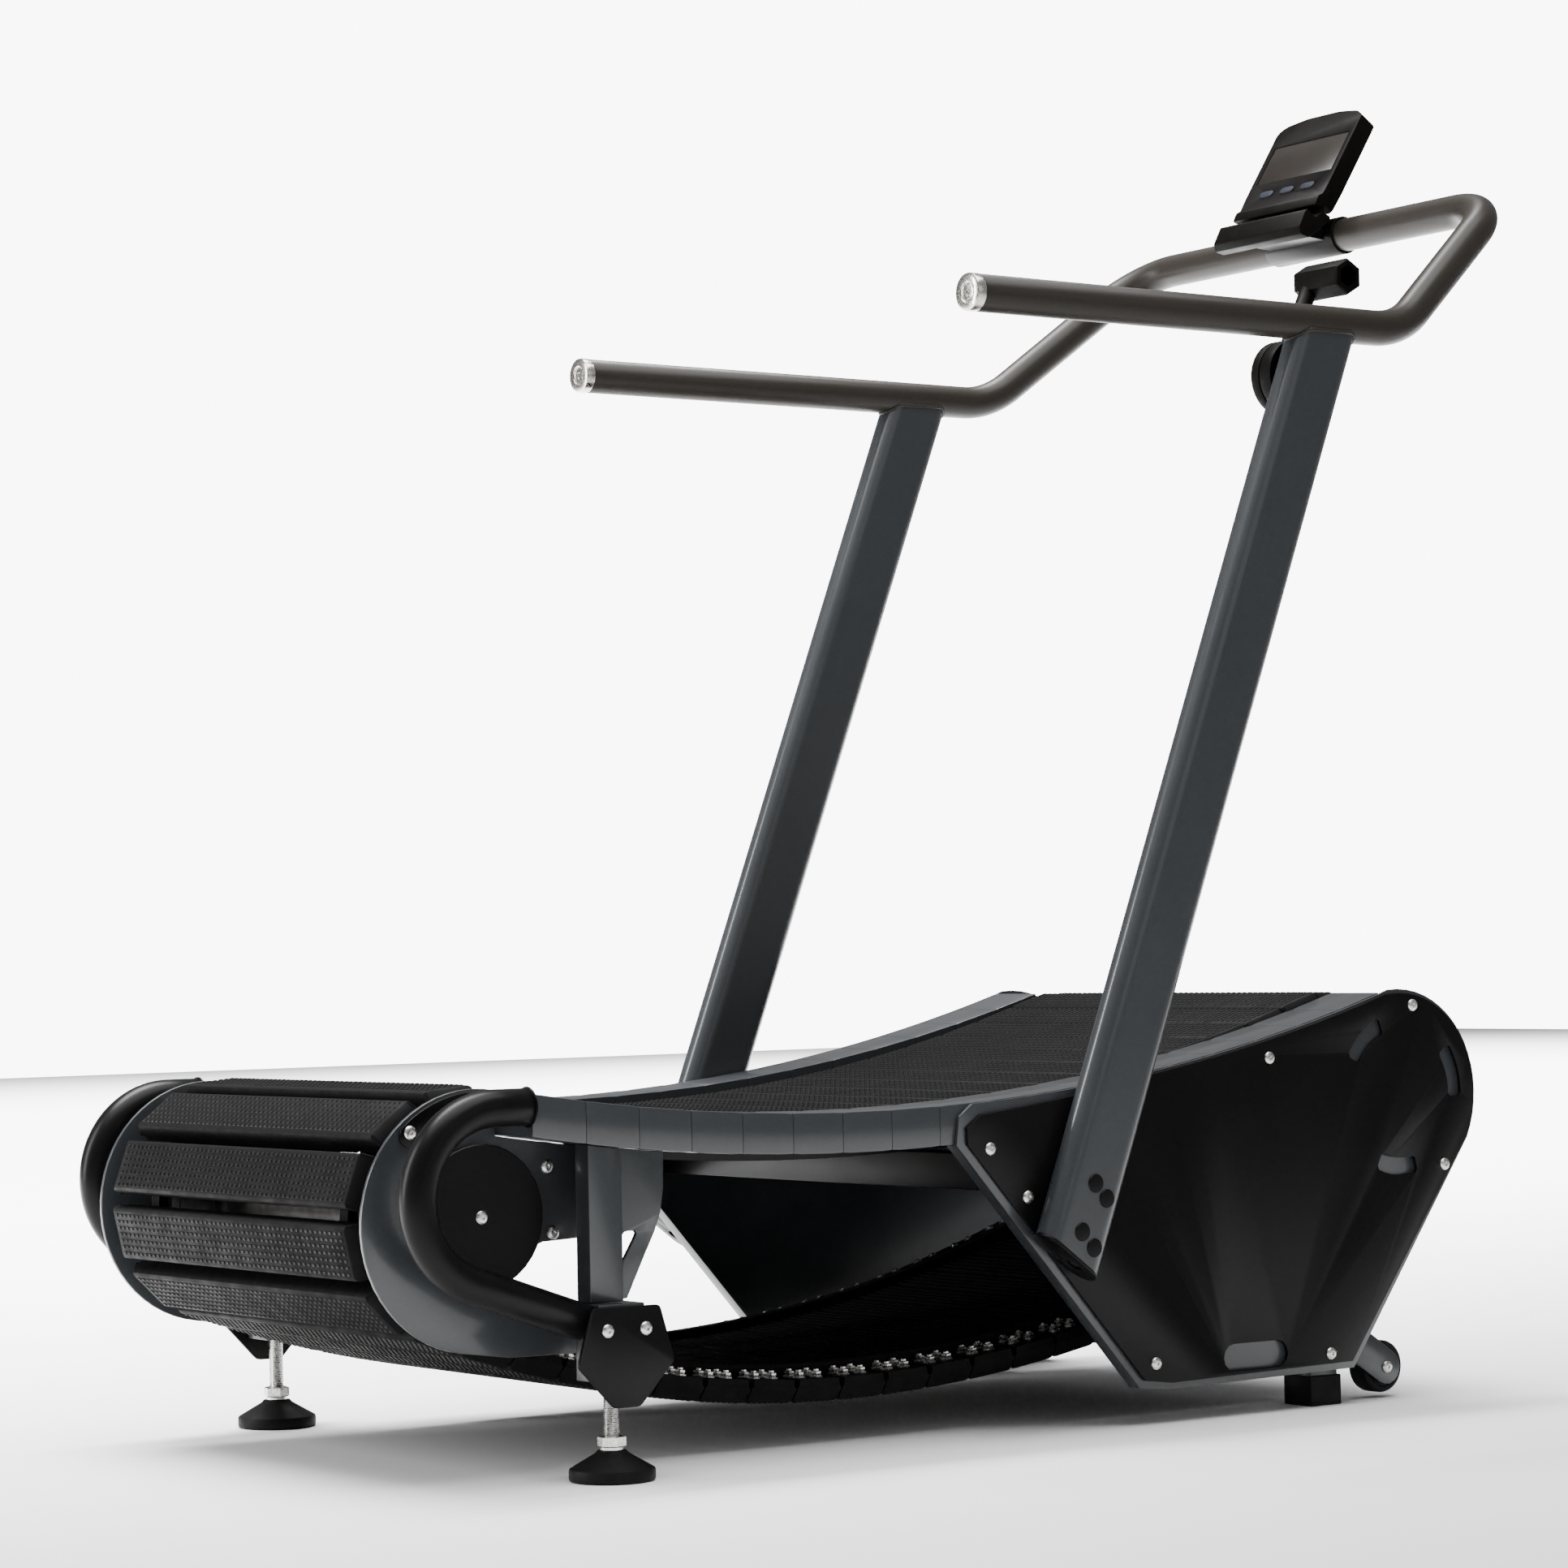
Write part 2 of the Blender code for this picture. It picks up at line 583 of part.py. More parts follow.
def beams():
    """Cross members that tie the two sides together."""
    box("rear_beam", "grey_paint", (-0.581, -0.2796, 0.262), (-0.541, 0.2796, 0.302), (-0.561, 0.0, 0.282))
    box("middle_beam", "black_paint", (-0.020, -0.3541, 0.262), (0.020, 0.3541, 0.302), (0.0, 0.0, 0.282))
    box("front_beam", "grey_paint", (0.395, -0.3396, 0.062), (0.436, 0.3396, 0.100), (0.4155, 0.0, 0.081))


def handlebar():
    """One tube: grip, rise, crossbar, rise, grip; the turned ends; the sleeve that holds the console."""
    y = UPRIGHT_Y
    corners = [(BAR_END_X, -y, BAR_Z), (RISE_X, -y, BAR_Z), (CROSS_X, -CROSS_Y, CROSS_Z),
               (CROSS_X, CROSS_Y, CROSS_Z), (RISE_X, y, BAR_Z), (BAR_END_X, y, BAR_Z)]
    tube("handlebar", "bar_paint", bend(corners, [0.110, 0.085, 0.085, 0.110], 6), BAR_R, 20)
    for tag, side in (("left", 1), ("right", -1)):
        end = [(0.0210, -0.0004), (0.0210, -0.0105), (0.0190, -0.0125), (0.0080, -0.0125), (0.0080, -0.0095)]
        lathe("bar_end_" + tag, "steel", end, 24, (BAR_END_X, side * y, BAR_Z), "X")
    ring = [(0.0212, -0.064), (0.0236, -0.064), (0.0236, 0.060), (0.0212, 0.060)]
    sleeve = lathe("bar_sleeve", "black_paint", ring, 24, (CROSS_X, 0.0, CROSS_Z), "Y", closed=True)
    arm = [(0.6895, 1.4018), (0.7245, 1.3990), (0.7245, 1.4120), (0.7085, 1.4168), (0.6885, 1.4034)]
    weld(sleeve, finish("sleeve_arm", prism_mesh(arm, -0.050, 0.050), "black_paint", (CROSS_X, 0.0, CROSS_Z)))


# ---------------------------------------------------------------- console and lever

def console_point(up, depth):
    """XZ of a point given up the tilted face from its lower edge, and into the head."""
    ahead, rise = math.sin(CONSOLE_TILT), math.cos(CONSOLE_TILT)
    return (CONSOLE_FOOT[0] + ahead * up + rise * depth, CONSOLE_FOOT[1] + rise * up - ahead * depth)


def console():
    """Computer head with its chin, display and keys, above the tray that it tilts on."""
    u_axis = (0.0, -1.0, 0.0)
    v_axis = (math.sin(CONSOLE_TILT), 0.0, math.cos(CONSOLE_TILT))
    centre = (CONSOLE_FOOT[0], 0.0, CONSOLE_FOOT[1])
    pivot = (CONSOLE_PIVOT[0], 0.0, CONSOLE_PIVOT[1])
    head = [(-0.076, 0.012), (0.076, 0.012), (0.078, 0.040), (0.078, 0.149), (0.066, 0.158), (0.030, 0.1640),
            (-0.030, 0.1640), (-0.066, 0.158), (-0.078, 0.149), (-0.078, 0.040)]
    window = [(-0.069, 0.0640), (0.069, 0.0640), (0.069, 0.1245), (-0.069, 0.1245)]
    body = finish("console", prism_mesh(rounded(head, 0.006, 3), 0.0, CONSOLE_THICK, (), centre, u_axis, v_axis),
                  "plastic", pivot)
    chin = [(0.6925, 1.4345), (0.7100, 1.4370), (0.7150, 1.4600), (0.7080, 1.4560), (0.6915, 1.4480),
            (0.6860, 1.4370)]
    weld(body, finish("chin", prism_mesh(rounded(chin, 0.002, 2), -0.0765, 0.0765), "plastic", pivot))
    cut(body, finish("display_recess", prism_mesh(window, -0.0100, 0.0030, (), centre, u_axis, v_axis),
                     "plastic"))
    glass = [(-0.0685, 0.0645), (0.0685, 0.0645), (0.0685, 0.1240), (-0.0685, 0.1240)]
    finish("display", prism_mesh(glass, 0.0006, 0.0026, (), centre, u_axis, v_axis), "screen", pivot)
    for index, place in enumerate((-0.038, 0.0, 0.038)):
        well = slot_outline((place - 0.0075, 0.0440), (place + 0.0075, 0.0440), 0.0051, 5)
        cut(body, finish("key_well_%d" % (index + 1),
                         prism_mesh(well, -0.0100, 0.0060, (), centre, u_axis, v_axis), "plastic"))
        cap = slot_outline((place - 0.0075, 0.0440), (place + 0.0075, 0.0440), 0.0045, 5)
        spot = console_point(0.044, 0.0)
        finish("key_%d" % (index + 1), prism_mesh(cap, -0.0015, 0.0040, (), centre, u_axis, v_axis), "plastic",
               (spot[0], -place, spot[1]))
    tray = [(0.6585, 1.3970), (0.6720, 1.3940), (0.7070, 1.4175), (0.7070, 1.4235), (0.6930, 1.4275),
            (0.6830, 1.4200), (0.6745, 1.4260), (0.6700, 1.4295), (0.6665, 1.4270), (0.6555, 1.4065)]
    finish("console_tray", prism_mesh(rounded(tray, 0.0015, 2), -0.0800, 0.0800), "plastic",
           (CROSS_X, 0.0, CROSS_Z))


def resistance_lever():
    """Dial box on the right upright and the lever that turns in it."""
    x, z = DIAL_CENTRE
    case = [(DIAL_R, 0.0004), (DIAL_R, 0.0185), (0.0408, 0.0190), (0.0408, 0.0200), (DIAL_R, 0.0205),
            (DIAL_R, 0.0330), (0.0395, 0.0355)]
    lathe("dial", "plastic", case, 32, (x, -(UPRIGHT_Y - UPRIGHT_T / 2), z))
    hub_y = -0.3290
    hub = [(0.0160, 0.0000), (0.0160, 0.0060), (0.0150, 0.0110), (0.0120, 0.0120)]
    lever = lathe("lever", "plastic", hub, 24, (x, hub_y, z))
    path = bend([(x, hub_y + 0.0125, z), (0.4150, -0.3130, 1.2010), (0.4850, -0.2760, 1.2820),
                 (0.5000, -0.2700, 1.2990)], [0.030, 0.030], 4)
    weld(lever, tube("lever_arm", "plastic", path, 0.0105, 12))
    grip = [(0.0195, 0.000), (0.0215, 0.003), (0.0215, 0.072), (0.0200, 0.075), (0.0140, 0.075), (0.0140, 0.045)]
    grip = [(radius, -height) for radius, height in grip]
    weld(lever, lathe("lever_grip", "plastic", grip, 6, (0.5000, -0.2570, 1.2990)))


# ---------------------------------------------------------------- build

for old in list(bpy.data.objects):
    bpy.data.objects.remove(old)

belt()
drum("rear_drum", REAR_AXLE, 0.2785)
drum("front_drum", FRONT_AXLE, 0.3530)
beams()
for tag, side in (("left", 1), ("right", -1)):
    rail(tag, side)
    roller_rail(tag, side)
    rear_plate(tag, side)
    drum_disc(tag, side)
    rear_cover(tag, side)
    guard(tag, side)
    post(tag, side)
    gusset(tag, side)
    foot_cover(tag, side)
    front_side(tag, side)
    upright(tag, side)
    rear_foot(tag, side)
    front_foot(tag, side)
    transport_wheel(tag, side)
handlebar()
console()
resistance_lever()
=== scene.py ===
import math

import bmesh
import bpy
import numpy as np
from mathutils import Matrix, Vector


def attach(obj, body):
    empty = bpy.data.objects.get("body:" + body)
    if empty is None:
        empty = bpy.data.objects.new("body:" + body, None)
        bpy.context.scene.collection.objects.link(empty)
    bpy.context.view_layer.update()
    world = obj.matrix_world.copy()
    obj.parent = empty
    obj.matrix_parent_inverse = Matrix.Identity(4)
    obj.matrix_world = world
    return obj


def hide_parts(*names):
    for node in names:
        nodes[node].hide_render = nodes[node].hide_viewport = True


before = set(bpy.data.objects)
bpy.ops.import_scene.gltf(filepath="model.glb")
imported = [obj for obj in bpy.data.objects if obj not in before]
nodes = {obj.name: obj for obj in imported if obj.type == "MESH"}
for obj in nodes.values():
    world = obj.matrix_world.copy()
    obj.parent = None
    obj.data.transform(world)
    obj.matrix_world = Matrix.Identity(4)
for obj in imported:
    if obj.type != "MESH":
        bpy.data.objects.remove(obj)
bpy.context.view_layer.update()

scene = bpy.context.scene


# The studio: a pale floor under a pale sky, a broad soft light overhead, one tall strip at the rear
# left for the highlights on rounded edges, a weak fill in front and a wash over the far floor. The
# camera stands low at the rear right-hand corner.

azimuth, tilt, roll = math.radians(-35.559), math.radians(-2.093), math.radians(-1.112)
back = Vector((math.sin(azimuth) * math.cos(tilt), -math.cos(azimuth) * math.cos(tilt), math.sin(tilt)))
level = (-back).cross(Vector((0.0, 0.0, 1.0))).normalized()
upward = level.cross(-back)
camera_x = level * math.cos(roll) + upward * math.sin(roll)
camera_y = upward * math.cos(roll) - level * math.sin(roll)
camera_data = bpy.data.cameras.new("camera")
camera_data.sensor_width = 36.0
camera_data.lens = 100.29
camera_data.clip_end = 60.0
camera = bpy.data.objects.new("camera", camera_data)
scene.collection.objects.link(camera)
turn = Matrix((camera_x, camera_y, back)).transposed().to_4x4()
turn.translation = Vector((-2.9800, -4.0528, 0.5368))
camera.matrix_world = turn
scene.camera = camera


def soft_light(name, place, aim, width, height, watts, spread=180.0):
    """Rectangular light at a place, facing a point, its beam held within spread degrees."""
    data = bpy.data.lights.new(name, "AREA")
    data.shape = "RECTANGLE"
    data.size = width
    data.size_y = height
    data.energy = watts
    data.spread = math.radians(spread)
    light = bpy.data.objects.new(name, data)
    scene.collection.objects.link(light)
    light.location = place
    light.rotation_euler = (Vector(aim) - Vector(place)).to_track_quat("-Z", "Y").to_euler()


soft_light("overhead", (-0.6, -0.6, 4.2), (0.0, 0.0, 0.4), 4.4, 3.6, 310.0)
soft_light("left_strip", (-3.6, 1.9, 1.7), (0.0, 0.0, 0.8), 0.4, 3.0, 150.0)
soft_light("front_fill", (0.6, -4.6, 2.2), (0.1, 0.0, 0.5), 2.6, 2.2, 12.0)

soft_light("floor_wash", (4.6, 6.6, 5.5), (4.6, 6.6, 0.0), 15.0, 11.0, 5200.0, 70.0)

world = bpy.data.worlds.new("pale_room")
world.use_nodes = True
room = world.node_tree.nodes["Background"]
room.inputs["Color"].default_value = (1.0, 1.0, 1.0, 1.0)
sight = world.node_tree.nodes.new("ShaderNodeLightPath")
glow = world.node_tree.nodes.new("ShaderNodeMapRange")
glow.inputs["To Min"].default_value = 0.26
glow.inputs["To Max"].default_value = 9.0
world.node_tree.links.new(sight.outputs["Is Camera Ray"], glow.inputs["Value"])
world.node_tree.links.new(glow.outputs["Result"], room.inputs["Strength"])
scene.world = world


def stock(name, roughness, metallic=0.0):
    """A new finish with its shader and object coordinates; returns the material and its node tree."""
    material = bpy.data.materials.new(name)
    material.use_nodes = True
    tree = material.node_tree
    shader = tree.nodes["Principled BSDF"]
    shader.name = "shader"
    shader.inputs["Roughness"].default_value = roughness
    shader.inputs["Metallic"].default_value = metallic
    coords = tree.nodes.new("ShaderNodeTexCoord")
    coords.name = "coords"
    return material, tree


def mottle(tree, scale, detail, stretch=(1.0, 1.0, 1.0)):
    """Cloudy grain of about 1/scale metres, drawn out along an axis by stretch."""
    spread = tree.nodes.new("ShaderNodeMapping")
    spread.inputs["Scale"].default_value = stretch
    tree.links.new(tree.nodes["coords"].outputs["Object"], spread.inputs["Vector"])
    grain = tree.nodes.new("ShaderNodeTexNoise")
    grain.inputs["Scale"].default_value = scale
    grain.inputs["Detail"].default_value = detail
    tree.links.new(spread.outputs["Vector"], grain.inputs["Vector"])
    return grain.outputs["Fac"]


def between(tree, source, socket, low, high, dark=0.35, light=0.65):
    """A mottle mapped from dark..light onto the range low..high of a shader socket, grey or colour."""
    shader = tree.nodes["shader"]
    if isinstance(low, tuple):
        ramp = tree.nodes.new("ShaderNodeValToRGB")
        ramp.color_ramp.elements[0].position = dark
        ramp.color_ramp.elements[0].color = (*low, 1.0)
        ramp.color_ramp.elements[1].position = light
        ramp.color_ramp.elements[1].color = (*high, 1.0)
        tree.links.new(source, ramp.inputs["Fac"])
        tree.links.new(ramp.outputs["Color"], shader.inputs[socket])
        return
    span = tree.nodes.new("ShaderNodeMapRange")
    for key, value in (("From Min", dark), ("From Max", light), ("To Min", low), ("To Max", high)):
        span.inputs[key].default_value = value
    tree.links.new(source, span.inputs["Value"])
    tree.links.new(span.outputs["Result"], shader.inputs[socket])


def relief(tree, source, depth, strength):
    """Bump of the given depth in metres from a mottle, laid over any bump already there."""
    bump = tree.nodes.new("ShaderNodeBump")
    bump.inputs["Distance"].default_value = depth
    bump.inputs["Strength"].default_value = strength
    tree.links.new(source, bump.inputs["Height"])
    shader = tree.nodes["shader"]
    if shader.inputs["Normal"].is_linked:
        tree.links.new(shader.inputs["Normal"].links[0].from_socket, bump.inputs["Normal"])
    tree.links.new(bump.outputs["Normal"], shader.inputs["Normal"])


floor_white, tree = stock("floor_white", 0.85)
between(tree, mottle(tree, 2.0, 2.0), "Base Color", (0.93, 0.93, 0.93), (0.95, 0.95, 0.95))
floor_mesh = bpy.data.meshes.new("floor")
floor_mesh.from_pydata([(-14.0, -14.0, 0.0), (14.0, -14.0, 0.0), (14.0, 14.0, 0.0), (-14.0, 14.0, 0.0)], [],
                       [(0, 1, 2, 3)])
floor_mesh.materials.append(floor_white)
floor = bpy.data.objects.new("floor", floor_mesh)
scene.collection.objects.link(floor)


# Powder-coated steelwork: posts, beams, legs and plates. Laser-cut plate and square tube, welded,
# blasted and coated slate grey; every edge is slightly rounded by the blasting and the coat.

def powder_coat(name, colour, roughness, coat=0.0, sheen=0.5):
    """Stoved powder: faint orange peel, finer grain under it, and a slow drift of tone and gloss; sheen
    sets how much the surface mirrors."""
    material, tree = stock(name, roughness)
    shader = tree.nodes["shader"]
    shader.inputs["Specular IOR Level"].default_value = sheen
    shader.inputs["Coat Weight"].default_value = coat
    shader.inputs["Coat Roughness"].default_value = 0.14
    darker = tuple(0.95 * c for c in colour)
    lighter = tuple(1.05 * c + 0.0005 for c in colour)
    between(tree, mottle(tree, 260.0, 5.0), "Base Color", darker, lighter, 0.30, 0.70)
    between(tree, mottle(tree, 9.0, 4.0), "Roughness", roughness - 0.03, roughness + 0.04)
    relief(tree, mottle(tree, 320.0, 2.0), 0.00022, 0.16)
    relief(tree, mottle(tree, 1500.0, 2.0), 0.00006, 0.20)
    return material


slate_grey = powder_coat("slate_grey_coat", (0.024, 0.0270, 0.0305), 0.34, 0.45, 0.36)
satin_black = powder_coat("satin_black_coat", (0.0030, 0.0028, 0.0028), 0.33, 0.0, 0.12)
bar_brown = powder_coat("hand_rail_coat", (0.0240, 0.0205, 0.0170), 0.36, 0.0, 0.22)


def dressed(node, paint, width, body="frame"):
    """The solid's own surface, welded and its flat faces joined, with its edges rounded by width."""
    work = bmesh.new()
    work.from_mesh(nodes[node].data)
    bmesh.ops.remove_doubles(work, verts=work.verts, dist=1e-6)
    bmesh.ops.dissolve_limit(work, angle_limit=math.radians(0.4), verts=work.verts, edges=work.edges)
    mesh = bpy.data.meshes.new(node + "_dressed")
    work.to_mesh(mesh)
    work.free()
    mesh.materials.clear()
    mesh.materials.append(paint)
    piece = bpy.data.objects.new(node + "_dressed", mesh)
    scene.collection.objects.link(piece)
    mesh.shade_smooth()
    if width:
        edge = piece.modifiers.new("edge", "BEVEL")
        edge.width = width
        edge.segments = 2
        edge.angle_limit = math.radians(32.0)
        edge.harden_normals = True
    else:
        mesh.set_sharp_from_angle(angle=math.radians(32.0))
    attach(piece, body)
    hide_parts(node)
    return piece


for name in ("rear_beam", "front_beam"):
    dressed(name, slate_grey, 0.0012)
dressed("middle_beam", satin_black, 0.0012)
for tag in ("left", "right"):
    for name in ("post_", "foot_block_", "leg_"):
        dressed(name + tag, slate_grey, 0.0012)
    for name in ("rear_plate_", "gusset_", "side_plate_", "wheel_bracket_"):
        dressed(name + tag, slate_grey, 0.0006)
    for name in ("roller_rail_", "rear_cover_", "foot_cover_", "panel_", "upright_cap_"):
        dressed(name + tag, satin_black, 0.0005)
    dressed("drum_disc_" + tag, satin_black, 0.0)


# Side rails: folded steel trays the runner steps over, coated grey and set side by side along the
# curve of the deck, so that a hairline shows at every joint.

deck_middle_x, deck_low_z, deck_radius = -0.240, 0.359, 2.570


def deck_height(x, drop=0.0):
    """Circle of the deck: z = low + R - sqrt((R + drop)^2 - (x - middle)^2)."""
    return deck_low_z + deck_radius - np.sqrt((deck_radius + drop) ** 2 - (x - deck_middle_x) ** 2)


def skin(rings, closed=False):
    """Skin over a stack of rings: ring i, step j is one point and neighbouring rings are joined by
    quads. An open stack gets a middle point at each end; a closed one joins its last ring to its first."""
    count, steps = rings.shape[:2]
    points = rings.reshape(-1, 3)
    i = np.arange(count if closed else count - 1)[:, None]
    j = np.arange(steps)[None, :]
    first, second = i * steps, ((i + 1) % count) * steps
    quads = np.stack([first + j, first + (j + 1) % steps, second + (j + 1) % steps, second + j], -1)
    quads = quads.reshape(-1, 4)
    fans = np.zeros((0, 3), int)
    if not closed:
        points = np.vstack([points, rings[0].mean(0), rings[-1].mean(0)])
        step = np.arange(steps)
        after = (step + 1) % steps
        start = np.stack([np.full(steps, count * steps), after, step], -1)
        last = (count - 1) * steps
        end = np.stack([np.full(steps, count * steps + 1), last + step, last + after], -1)
        fans = np.vstack([start, end])
    a, b, c, d = (points[quads[:, k]] for k in range(4))
    volume = np.einsum("ij,ij->", a, np.cross(b, c)) + np.einsum("ij,ij->", a, np.cross(c, d))
    if len(fans):
        a, b, c = (points[fans[:, k]] for k in range(3))
        volume += np.einsum("ij,ij->", a, np.cross(b, c))
    if volume < 0:
        quads, fans = quads[:, ::-1], fans[:, ::-1]
    return points, quads, fans


def copies(part, turns, places):
    """The same part set down many times: point' = turn x point + place, for every turn and place."""
    points, quads, fans = part
    spread = np.einsum("kab,nb->kna", turns, points) + places[:, None, :]
    shift = (np.arange(len(places)) * len(points))[:, None, None]
    return spread.reshape(-1, 3), (quads[None] + shift).reshape(-1, 4), (fans[None] + shift).reshape(-1, 3)


def gathered(parts):
    """Several parts as one, their faces renumbered."""
    shifts = np.cumsum([0] + [len(part[0]) for part in parts[:-1]])
    return (np.vstack([part[0] for part in parts]),
            np.vstack([part[1] + shift for part, shift in zip(parts, shifts)]),
            np.vstack([part[2] + shift for part, shift in zip(parts, shifts)]))


def fit(name, part, paint, body="frame", crease=35.0, stands_for=()):
    """Puts a part's points and faces into a mesh, coats it and fixes it to a body."""
    points, quads, fans = part
    mesh = bpy.data.meshes.new(name)
    mesh.vertices.add(len(points))
    mesh.vertices.foreach_set("co", points.astype(np.float32).ravel())
    loops = np.concatenate([quads.ravel(), fans.ravel()]).astype(np.int32)
    totals = np.concatenate([np.full(len(quads), 4), np.full(len(fans), 3)]).astype(np.int32)
    mesh.loops.add(len(loops))
    mesh.loops.foreach_set("vertex_index", loops)
    mesh.polygons.add(len(totals))
    mesh.polygons.foreach_set("loop_start", np.concatenate([[0], np.cumsum(totals)[:-1]]).astype(np.int32))
    mesh.update(calc_edges=True)
    mesh.validate()
    mesh.materials.append(paint)
    mesh.shade_smooth()
    mesh.set_sharp_from_angle(angle=math.radians(crease))
    piece = bpy.data.objects.new(name, mesh)
    scene.collection.objects.link(piece)
    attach(piece, body)
    if stands_for:
        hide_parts(*stands_for)
    return piece


def rail_tray(start, end, side):
    """Box section (y, drop) with rounded outer edges, carried along the deck circle from start to end."""
    section = np.array([(0.2750, 0.0004), (0.2758, 0.0), (0.3515, 0.0), (0.3530, 0.0004), (0.3540, 0.0025),
                        (0.3540, 0.0405), (0.3530, 0.0426), (0.3515, 0.0430), (0.2758, 0.0430),
                        (0.2750, 0.0426)])
    x = np.linspace(start, end, 7)[:, None] * np.ones(len(section))
    z = deck_height(x, section[:, 1])
    y = side * section[:, 0] * np.ones_like(x)
    inset = np.zeros(7)
    inset[[0, -1]] = 0.0005
    middle = np.array([0.3145 * side, 0.0])
    y = y + (middle[0] - y) * inset[:, None] / 0.04
    z = z - inset[:, None] * np.sign(0.0215 - section[:, 1])
    return skin(np.stack([x, y, z], -1))


rail_joints = -0.652 + 0.0640 * np.arange(19)
for tag, side in (("left", 1.0), ("right", -1.0)):
    trays = [rail_tray(a + 0.00035, b - 0.00035, side) for a, b in zip(rail_joints[:-1], rail_joints[1:])]
    fit("rail_trays_" + tag, gathered(trays), slate_grey, stands_for=("rail_" + tag,))


# Running belt: ribbed rubber slats screwed across two rubber bands. Each slat is moulded with a
# field of small flat studs for grip, and four nuts at each end hold it to its band.

axle_rear, axle_front = np.array([-0.677, 0.266]), np.array([0.506, 0.334])
wrap_radius, crown_radius = 0.103, 2.230
slack_low = np.array([-0.200, 0.076])
slat_count = 52


def moulded_rubber(name, tone, roughness):
    """Black rubber: bloom and dust in slow patches over a fine moulded grain."""
    material, tree = stock(name, roughness)
    tree.nodes["shader"].inputs["Specular IOR Level"].default_value = 0.08
    between(tree, mottle(tree, 14.0, 6.0), "Base Color", (tone, tone, tone * 1.02),
            (tone * 1.45, tone * 1.42, tone * 1.40), 0.40, 0.75)
    between(tree, mottle(tree, 40.0, 4.0), "Roughness", roughness - 0.07, roughness + 0.10)
    relief(tree, mottle(tree, 900.0, 3.0), 0.00010, 0.35)
    return material


slat_rubber = moulded_rubber("slat_rubber", 0.0024, 0.62)
stud_rubber = moulded_rubber("worn_stud_rubber", 0.0085, 0.46)
band_rubber = moulded_rubber("band_rubber", 0.0055, 0.62)


def arc_points(centre, radius, start, end, count):
    """Points on a circle: centre + radius (cos a, sin a), a from start to just before end."""
    angle = np.linspace(start, end, count, endpoint=False)[:, None]
    return centre + radius * np.hstack([np.cos(angle), np.sin(angle)])


def leave_angle(axle, sign):
    """Where the slack side leaves a drum: the circle's slope there equals that of a parabola whose
    lowest point is slack_low. Halving search on the angle."""
    small, large = 0.02, 1.2
    for _ in range(60):
        angle = (small + large) / 2
        x = axle[0] + sign * wrap_radius * math.sin(angle)
        z = axle[1] - wrap_radius * math.cos(angle)
        steep = 2 * (z - slack_low[1]) / abs(x - slack_low[0]) > math.tan(angle)
        small, large = (angle, large) if steep else (small, angle)
    return angle, np.array([x, z])


def belt_loop(shares):
    """Points on the line the slats are screwed on, at shares of its length: drum arc, two parabolas,
    drum arc, then the crown arc of the running side."""
    span = axle_front - axle_rear
    length = np.hypot(*span)
    rise = math.sqrt((crown_radius + wrap_radius) ** 2 - (length / 2) ** 2)
    top = (axle_rear + axle_front) / 2 + np.array([-span[1], span[0]]) / length * rise
    rear_up, front_up = top - axle_rear, top - axle_front
    rear_angle, rear_low = leave_angle(axle_rear, -1)
    front_angle, front_low = leave_angle(axle_front, 1)
    runs = [arc_points(axle_rear, wrap_radius, math.atan2(rear_up[1], rear_up[0]),
                       math.radians(270) - rear_angle, 400)]
    for point, first, last in ((rear_low, rear_low[0], slack_low[0]), (front_low, slack_low[0], front_low[0])):
        bow = (point[1] - slack_low[1]) / (point[0] - slack_low[0]) ** 2
        x = np.linspace(first, last, 400, endpoint=False)
        runs.append(np.stack([x, slack_low[1] + bow * (x - slack_low[0]) ** 2], -1))
    runs.append(arc_points(axle_front, wrap_radius, math.radians(-90) + front_angle,
                           math.atan2(front_up[1], front_up[0]), 400))
    runs.append(arc_points(top, crown_radius, math.atan2(-front_up[1], -front_up[0]),
                           math.atan2(-rear_up[1], -rear_up[0]), 800))
    points = np.vstack(runs)
    points = np.vstack([points, points[:1]])
    along = np.concatenate([[0.0], np.cumsum(np.hypot(*np.diff(points, axis=0).T))])
    place = (np.asarray(shares) % 1.0) * along[-1]
    return np.stack([np.interp(place, along, points[:, k]) for k in (0, 1)], -1)


index = np.arange(slat_count)
slat_middle = belt_loop((index + 0.5) / slat_count)
ahead, behind = (belt_loop((index + 0.5 + step) / slat_count) for step in (0.033, -0.033))
along = (ahead - behind) / np.hypot(*(ahead - behind).T)[:, None]
outward = np.stack([along[:, 1], -along[:, 0]], -1)
flat = np.zeros(slat_count)
slat_turns = np.stack([np.stack([along[:, 0], flat, along[:, 1]], -1),
                       np.tile([0.0, 1.0, 0.0], (slat_count, 1)),
                       np.stack([outward[:, 0], flat, outward[:, 1]], -1)], -1)
slat_places = np.stack([slat_middle[:, 0], flat, slat_middle[:, 1]], -1)


def bar(section, stations, heights):
    """Section of (along, up) points carried across the machine and cut down to a height at each station."""
    section = np.asarray(section)
    up = np.minimum(section[None, :, 1], np.asarray(heights)[:, None])
    across = np.asarray(stations)[:, None] * np.ones(len(section))
    return skin(np.stack([section[:, 0] * np.ones_like(up), across, up], -1))


